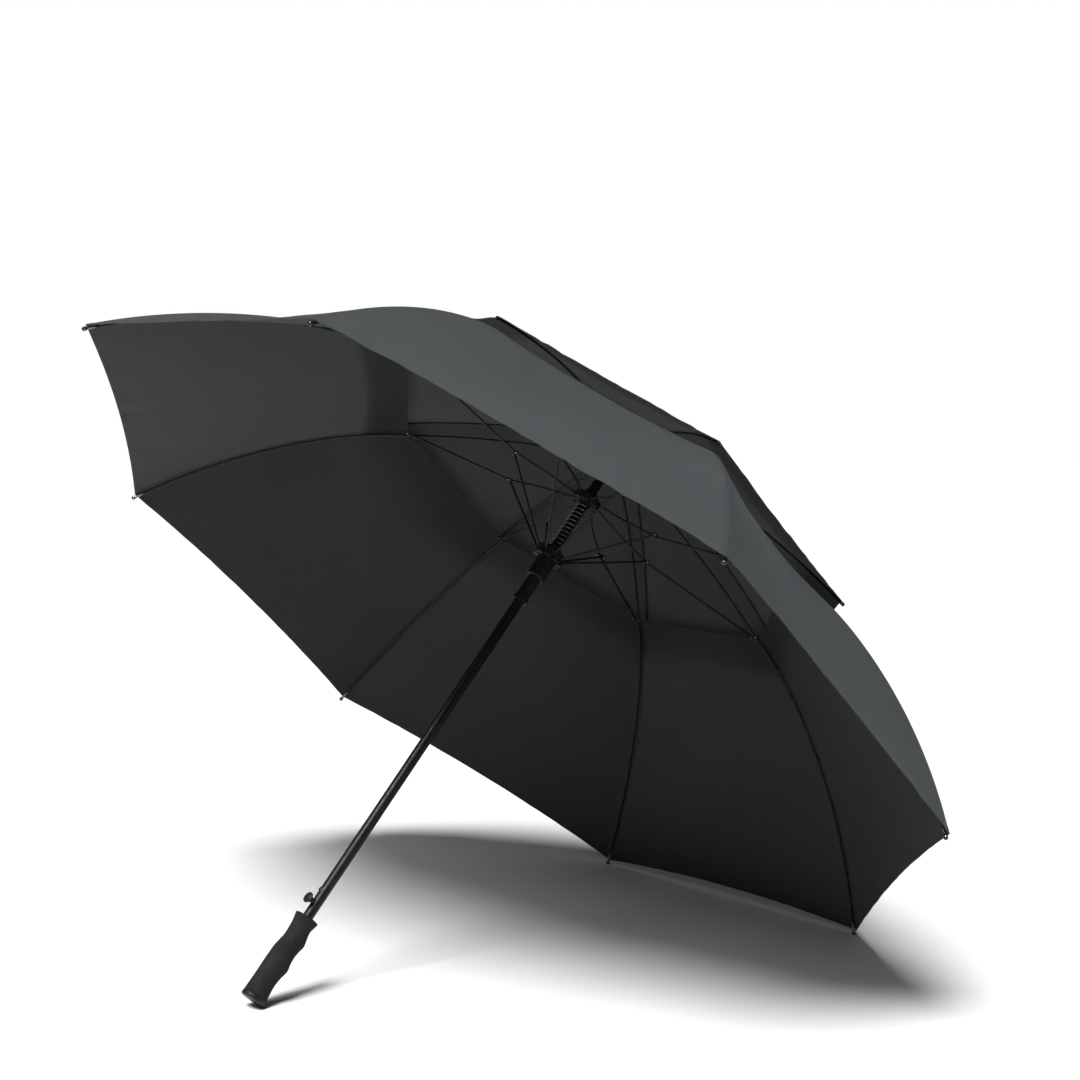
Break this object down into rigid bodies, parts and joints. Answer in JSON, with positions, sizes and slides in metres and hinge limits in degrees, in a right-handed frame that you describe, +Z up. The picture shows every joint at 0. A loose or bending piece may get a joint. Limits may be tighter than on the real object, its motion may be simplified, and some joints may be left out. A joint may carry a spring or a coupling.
{
  "type": "golf umbrella",
  "caption": "Double-canopy golf umbrella, open and lying on its handle end and two rib tips, with ribs, braces and runner that fold.",
  "frame": {"origin": "on the floor, under the middle of the rib tips, the centre of the bounding box's underside", "axes": "+Z up from the floor, +X the way the shaft leans from the handle to the ferrule, +Y across; the umbrella lies open on its handle end and two rib tips"},
  "size_m": [0.931, 1.2458, 0.8617],
  "materials": {
    "black_tube": "satin",
    "soft_grip": "matte",
    "black_plastic": "satin",
    "spring_steel": "satin",
    "black_rib": "gloss",
    "black_rod": "satin",
    "canopy_cloth": "matte"
  },
  "bodies": {
    "frame": {"shaft": "black_tube", "grip": "soft_grip", "grip_end_cap": "black_plastic", "rib_notch": "black_plastic", "vent_notch": "black_plastic", "ferrule": "black_plastic"},
    "button": {"button": "black_plastic", "button_catch": "spring_steel"},
    "runner": {"runner": "black_plastic", "runner_sleeve": "black_plastic", "main_spring": "spring_steel"},
    "crown_collar": {"crown_collar": "black_plastic"},
    "inner_rib_1": {"inner_rib_1": "black_rib"},
    "outer_rib_1": {"outer_rib_1": "black_rib", "canopy_panel_1": "canopy_cloth"},
    "stretcher_1": {"stretcher_1": "black_rod"},
    "brace_1": {"brace_1": "black_rod"},
    "vent_rib_1": {"vent_panel_1": "canopy_cloth"},
    "inner_rib_2": {"inner_rib_2": "black_rib"},
    "outer_rib_2": {"outer_rib_2": "black_rib", "canopy_panel_2": "canopy_cloth"},
    "stretcher_2": {"stretcher_2": "black_rod"},
    "brace_2": {"brace_2": "black_rod"},
    "vent_rib_2": {"vent_panel_2": "canopy_cloth"},
    "inner_rib_3": {"inner_rib_3": "black_rib"},
    "outer_rib_3": {"outer_rib_3": "black_rib", "canopy_panel_3": "canopy_cloth"},
    "stretcher_3": {"stretcher_3": "black_rod"},
    "brace_3": {"brace_3": "black_rod"},
    "vent_rib_3": {"vent_panel_3": "canopy_cloth"},
    "inner_rib_4": {"inner_rib_4": "black_rib"},
    "outer_rib_4": {"outer_rib_4": "black_rib", "canopy_panel_4": "canopy_cloth"},
    "stretcher_4": {"stretcher_4": "black_rod"},
    "brace_4": {"brace_4": "black_rod"},
    "vent_rib_4": {"vent_panel_4": "canopy_cloth"},
    "inner_rib_5": {"inner_rib_5": "black_rib"},
    "outer_rib_5": {"outer_rib_5": "black_rib", "canopy_panel_5": "canopy_cloth"},
    "stretcher_5": {"stretcher_5": "black_rod"},
    "brace_5": {"brace_5": "black_rod"},
    "vent_rib_5": {"vent_panel_5": "canopy_cloth"},
    "inner_rib_6": {"inner_rib_6": "black_rib"},
    "outer_rib_6": {"outer_rib_6": "black_rib", "canopy_panel_6": "canopy_cloth"},
    "stretcher_6": {"stretcher_6": "black_rod"},
    "brace_6": {"brace_6": "black_rod"},
    "vent_rib_6": {"vent_panel_6": "canopy_cloth"},
    "inner_rib_7": {"inner_rib_7": "black_rib"},
    "outer_rib_7": {"outer_rib_7": "black_rib", "canopy_panel_7": "canopy_cloth"},
    "stretcher_7": {"stretcher_7": "black_rod"},
    "brace_7": {"brace_7": "black_rod"},
    "vent_rib_7": {"vent_panel_7": "canopy_cloth"},
    "inner_rib_8": {"inner_rib_8": "black_rib"},
    "outer_rib_8": {"outer_rib_8": "black_rib", "canopy_panel_8": "canopy_cloth"},
    "stretcher_8": {"stretcher_8": "black_rod"},
    "brace_8": {"brace_8": "black_rod"},
    "vent_rib_8": {"vent_panel_8": "canopy_cloth"}
  },
  "joints": [
    {"name": "runner_slide", "type": "slide", "parent": "frame", "child": "runner", "axis": [-0.6734, 0, -0.7393], "range_m": [0, 0.4668], "stiffness_N_per_m": 60, "springref_m": -0.25, "deforming": ["main_spring", "canopy_panel_1", "canopy_panel_2", "canopy_panel_3", "canopy_panel_4", "canopy_panel_5", "canopy_panel_6", "canopy_panel_7", "canopy_panel_8", "vent_panel_1", "vent_panel_2", "vent_panel_3", "vent_panel_4", "vent_panel_5", "vent_panel_6", "vent_panel_7", "vent_panel_8"]},
    {"name": "collar_slide", "type": "slide", "parent": "frame", "child": "crown_collar", "axis": [-0.6734, 0, -0.7393], "range_m": [0, 0.53549]},
    {"name": "rib_fold_1", "type": "hinge", "parent": "frame", "child": "inner_rib_1", "pos_m": [0.23169, 0.00475, 0.6578], "axis": [-0.2829, 0.9239, 0.2577], "range_deg": [0, 73.17]},
    {"name": "rib_flex_1", "type": "hinge", "parent": "inner_rib_1", "child": "outer_rib_1", "pos_m": [0.38957, 0.12093, 0.41459], "axis": [0.2829, -0.9239, -0.2577], "range_deg": [0, 18.92]},
    {"name": "stretcher_fold_1", "type": "hinge", "parent": "crown_collar", "child": "stretcher_1", "pos_m": [0.18379, 0.00639, 0.59931], "axis": [0.2829, -0.9239, -0.2577], "range_deg": [0, 87.08]},
    {"name": "brace_fold_1", "type": "hinge", "parent": "runner", "child": "brace_1", "pos_m": [0.1178, 0.00658, 0.52618], "axis": [0.2829, -0.9239, -0.2577], "range_deg": [0, 43.28]},
    {"name": "vent_fold_1", "type": "hinge", "parent": "frame", "child": "vent_rib_1", "pos_m": [0.25637, 0.00612, 0.67996], "axis": [-0.2829, 0.9239, 0.2577], "range_deg": [0, 67.13]},
    {"name": "rib_fold_2", "type": "hinge", "parent": "frame", "child": "inner_rib_2", "pos_m": [0.22673, 0.01146, 0.66232], "axis": [-0.683, 0.3827, 0.6221], "range_deg": [0, 73.17]},
    {"name": "rib_flex_2", "type": "hinge", "parent": "inner_rib_2", "child": "outer_rib_2", "pos_m": [0.26313, 0.29195, 0.52975], "axis": [0.683, -0.3827, -0.6221], "range_deg": [0, 18.92]},
    {"name": "stretcher_fold_2", "type": "hinge", "parent": "crown_collar", "child": "stretcher_2", "pos_m": [0.17711, 0.01543, 0.60539], "axis": [0.683, -0.3827, -0.6221], "range_deg": [0, 87.08]},
    {"name": "brace_fold_2", "type": "hinge", "parent": "runner", "child": "brace_2", "pos_m": [0.11092, 0.01589, 0.53244], "axis": [0.683, -0.3827, -0.6221], "range_deg": [0, 43.28]},
    {"name": "vent_fold_2", "type": "hinge", "parent": "frame", "child": "vent_rib_2", "pos_m": [0.24997, 0.01478, 0.68579], "axis": [-0.683, 0.3827, 0.6221], "range_deg": [0, 67.13]},
    {"name": "rib_fold_3", "type": "hinge", "parent": "frame", "child": "inner_rib_3", "pos_m": [0.21971, 0.01146, 0.66871], "axis": [-0.683, -0.3827, 0.6221], "range_deg": [0, 73.17]},
    {"name": "rib_flex_3", "type": "hinge", "parent": "inner_rib_3", "child": "outer_rib_3", "pos_m": [0.08432, 0.29195, 0.69261], "axis": [0.683, 0.3827, -0.6221], "range_deg": [0, 18.92]},
    {"name": "stretcher_fold_3", "type": "hinge", "parent": "crown_collar", "child": "stretcher_3", "pos_m": [0.16766, 0.01543, 0.614], "axis": [0.683, 0.3827, -0.6221], "range_deg": [0, 87.08]},
    {"name": "brace_fold_3", "type": "hinge", "parent": "runner", "child": "brace_3", "pos_m": [0.10119, 0.01589, 0.54131], "axis": [0.683, 0.3827, -0.6221], "range_deg": [0, 43.28]},
    {"name": "vent_fold_3", "type": "hinge", "parent": "frame", "child": "vent_rib_3", "pos_m": [0.24091, 0.01478, 0.69404], "axis": [-0.683, -0.3827, 0.6221], "range_deg": [0, 67.13]},
    {"name": "rib_fold_4", "type": "hinge", "parent": "frame", "child": "inner_rib_4", "pos_m": [0.21475, 0.00475, 0.67323], "axis": [-0.2829, -0.9239, 0.2577], "range_deg": [0, 73.17]},
    {"name": "rib_flex_4", "type": "hinge", "parent": "inner_rib_4", "child": "outer_rib_4", "pos_m": [-0.04211, 0.12093, 0.80776], "axis": [0.2829, 0.9239, -0.2577], "range_deg": [0, 18.92]},
    {"name": "stretcher_fold_4", "type": "hinge", "parent": "crown_collar", "child": "stretcher_4", "pos_m": [0.16097, 0.00639, 0.62009], "axis": [0.2829, 0.9239, -0.2577], "range_deg": [0, 87.08]},
    {"name": "brace_fold_4", "type": "hinge", "parent": "runner", "child": "brace_4", "pos_m": [0.09431, 0.00658, 0.54758], "axis": [0.2829, 0.9239, -0.2577], "range_deg": [0, 43.28]},
    {"name": "vent_fold_4", "type": "hinge", "parent": "frame", "child": "vent_rib_4", "pos_m": [0.23451, 0.00612, 0.69987], "axis": [-0.2829, -0.9239, 0.2577], "range_deg": [0, 67.13]},
    {"name": "rib_fold_5", "type": "hinge", "parent": "frame", "child": "inner_rib_5", "pos_m": [0.21475, -0.00475, 0.67323], "axis": [0.2829, -0.9239, -0.2577], "range_deg": [0, 73.17]},
    {"name": "rib_flex_5", "type": "hinge", "parent": "inner_rib_5", "child": "outer_rib_5", "pos_m": [-0.04211, -0.12093, 0.80776], "axis": [-0.2829, 0.9239, 0.2577], "range_deg": [0, 18.92]},
    {"name": "stretcher_fold_5", "type": "hinge", "parent": "crown_collar", "child": "stretcher_5", "pos_m": [0.16097, -0.00639, 0.62009], "axis": [-0.2829, 0.9239, 0.2577], "range_deg": [0, 87.08]},
    {"name": "brace_fold_5", "type": "hinge", "parent": "runner", "child": "brace_5", "pos_m": [0.09431, -0.00658, 0.54758], "axis": [-0.2829, 0.9239, 0.2577], "range_deg": [0, 43.28]},
    {"name": "vent_fold_5", "type": "hinge", "parent": "frame", "child": "vent_rib_5", "pos_m": [0.23451, -0.00612, 0.69987], "axis": [0.2829, -0.9239, -0.2577], "range_deg": [0, 67.13]},
    {"name": "rib_fold_6", "type": "hinge", "parent": "frame", "child": "inner_rib_6", "pos_m": [0.21971, -0.01146, 0.66871], "axis": [0.683, -0.3827, -0.6221], "range_deg": [0, 73.17]},
    {"name": "rib_flex_6", "type": "hinge", "parent": "inner_rib_6", "child": "outer_rib_6", "pos_m": [0.08432, -0.29195, 0.69261], "axis": [-0.683, 0.3827, 0.6221], "range_deg": [0, 18.92]},
    {"name": "stretcher_fold_6", "type": "hinge", "parent": "crown_collar", "child": "stretcher_6", "pos_m": [0.16766, -0.01543, 0.614], "axis": [-0.683, 0.3827, 0.6221], "range_deg": [0, 87.08]},
    {"name": "brace_fold_6", "type": "hinge", "parent": "runner", "child": "brace_6", "pos_m": [0.10119, -0.01589, 0.54131], "axis": [-0.683, 0.3827, 0.6221], "range_deg": [0, 43.28]},
    {"name": "vent_fold_6", "type": "hinge", "parent": "frame", "child": "vent_rib_6", "pos_m": [0.24091, -0.01478, 0.69404], "axis": [0.683, -0.3827, -0.6221], "range_deg": [0, 67.13]},
    {"name": "rib_fold_7", "type": "hinge", "parent": "frame", "child": "inner_rib_7", "pos_m": [0.22673, -0.01146, 0.66232], "axis": [0.683, 0.3827, -0.6221], "range_deg": [0, 73.17]},
    {"name": "rib_flex_7", "type": "hinge", "parent": "inner_rib_7", "child": "outer_rib_7", "pos_m": [0.26313, -0.29195, 0.52975], "axis": [-0.683, -0.3827, 0.6221], "range_deg": [0, 18.92]},
    {"name": "stretcher_fold_7", "type": "hinge", "parent": "crown_collar", "child": "stretcher_7", "pos_m": [0.17711, -0.01543, 0.60539], "axis": [-0.683, -0.3827, 0.6221], "range_deg": [0, 87.08]},
    {"name": "brace_fold_7", "type": "hinge", "parent": "runner", "child": "brace_7", "pos_m": [0.11092, -0.01589, 0.53244], "axis": [-0.683, -0.3827, 0.6221], "range_deg": [0, 43.28]},
    {"name": "vent_fold_7", "type": "hinge", "parent": "frame", "child": "vent_rib_7", "pos_m": [0.24997, -0.01478, 0.68579], "axis": [0.683, 0.3827, -0.6221], "range_deg": [0, 67.13]},
    {"name": "rib_fold_8", "type": "hinge", "parent": "frame", "child": "inner_rib_8", "pos_m": [0.23169, -0.00475, 0.6578], "axis": [0.2829, 0.9239, -0.2577], "range_deg": [0, 73.17]},
    {"name": "rib_flex_8", "type": "hinge", "parent": "inner_rib_8", "child": "outer_rib_8", "pos_m": [0.38957, -0.12093, 0.41459], "axis": [-0.2829, -0.9239, 0.2577], "range_deg": [0, 18.92]},
    {"name": "stretcher_fold_8", "type": "hinge", "parent": "crown_collar", "child": "stretcher_8", "pos_m": [0.18379, -0.00639, 0.59931], "axis": [-0.2829, -0.9239, 0.2577], "range_deg": [0, 87.08]},
    {"name": "brace_fold_8", "type": "hinge", "parent": "runner", "child": "brace_8", "pos_m": [0.1178, -0.00658, 0.52618], "axis": [-0.2829, -0.9239, 0.2577], "range_deg": [0, 43.28]},
    {"name": "vent_fold_8", "type": "hinge", "parent": "frame", "child": "vent_rib_8", "pos_m": [0.25637, -0.00612, 0.67996], "axis": [0.2829, 0.9239, -0.2577], "range_deg": [0, 67.13]},
    {"name": "button_press", "type": "slide", "parent": "frame", "child": "button", "axis": [0.7393, 0, -0.6734], "range_m": [0, 0.0022], "stiffness_N_per_m": 600, "springref_m": -0.002}
  ],
  "couplings": [
    {"joint": "collar_slide", "follows": "runner_slide", "ratio": 1.1469},
    {"joint": "rib_fold_1", "follows": "runner_slide", "rad_per_m": 2.7354},
    {"joint": "rib_flex_1", "follows": "runner_slide", "rad_per_m": 0.70695},
    {"joint": "stretcher_fold_1", "follows": "runner_slide", "rad_per_m": 3.2555},
    {"joint": "brace_fold_1", "follows": "runner_slide", "rad_per_m": 1.6178},
    {"joint": "vent_fold_1", "follows": "runner_slide", "rad_per_m": 2.5096},
    {"joint": "rib_fold_2", "follows": "runner_slide", "rad_per_m": 2.7354},
    {"joint": "rib_flex_2", "follows": "runner_slide", "rad_per_m": 0.70695},
    {"joint": "stretcher_fold_2", "follows": "runner_slide", "rad_per_m": 3.2555},
    {"joint": "brace_fold_2", "follows": "runner_slide", "rad_per_m": 1.6178},
    {"joint": "vent_fold_2", "follows": "runner_slide", "rad_per_m": 2.5096},
    {"joint": "rib_fold_3", "follows": "runner_slide", "rad_per_m": 2.7354},
    {"joint": "rib_flex_3", "follows": "runner_slide", "rad_per_m": 0.70695},
    {"joint": "stretcher_fold_3", "follows": "runner_slide", "rad_per_m": 3.2555},
    {"joint": "brace_fold_3", "follows": "runner_slide", "rad_per_m": 1.6178},
    {"joint": "vent_fold_3", "follows": "runner_slide", "rad_per_m": 2.5096},
    {"joint": "rib_fold_4", "follows": "runner_slide", "rad_per_m": 2.7354},
    {"joint": "rib_flex_4", "follows": "runner_slide", "rad_per_m": 0.70695},
    {"joint": "stretcher_fold_4", "follows": "runner_slide", "rad_per_m": 3.2555},
    {"joint": "brace_fold_4", "follows": "runner_slide", "rad_per_m": 1.6178},
    {"joint": "vent_fold_4", "follows": "runner_slide", "rad_per_m": 2.5096},
    {"joint": "rib_fold_5", "follows": "runner_slide", "rad_per_m": 2.7354},
    {"joint": "rib_flex_5", "follows": "runner_slide", "rad_per_m": 0.70695},
    {"joint": "stretcher_fold_5", "follows": "runner_slide", "rad_per_m": 3.2555},
    {"joint": "brace_fold_5", "follows": "runner_slide", "rad_per_m": 1.6178},
    {"joint": "vent_fold_5", "follows": "runner_slide", "rad_per_m": 2.5096},
    {"joint": "rib_fold_6", "follows": "runner_slide", "rad_per_m": 2.7354},
    {"joint": "rib_flex_6", "follows": "runner_slide", "rad_per_m": 0.70695},
    {"joint": "stretcher_fold_6", "follows": "runner_slide", "rad_per_m": 3.2555},
    {"joint": "brace_fold_6", "follows": "runner_slide", "rad_per_m": 1.6178},
    {"joint": "vent_fold_6", "follows": "runner_slide", "rad_per_m": 2.5096},
    {"joint": "rib_fold_7", "follows": "runner_slide", "rad_per_m": 2.7354},
    {"joint": "rib_flex_7", "follows": "runner_slide", "rad_per_m": 0.70695},
    {"joint": "stretcher_fold_7", "follows": "runner_slide", "rad_per_m": 3.2555},
    {"joint": "brace_fold_7", "follows": "runner_slide", "rad_per_m": 1.6178},
    {"joint": "vent_fold_7", "follows": "runner_slide", "rad_per_m": 2.5096},
    {"joint": "rib_fold_8", "follows": "runner_slide", "rad_per_m": 2.7354},
    {"joint": "rib_flex_8", "follows": "runner_slide", "rad_per_m": 0.70695},
    {"joint": "stretcher_fold_8", "follows": "runner_slide", "rad_per_m": 3.2555},
    {"joint": "brace_fold_8", "follows": "runner_slide", "rad_per_m": 1.6178},
    {"joint": "vent_fold_8", "follows": "runner_slide", "rad_per_m": 2.5096}
  ]
}
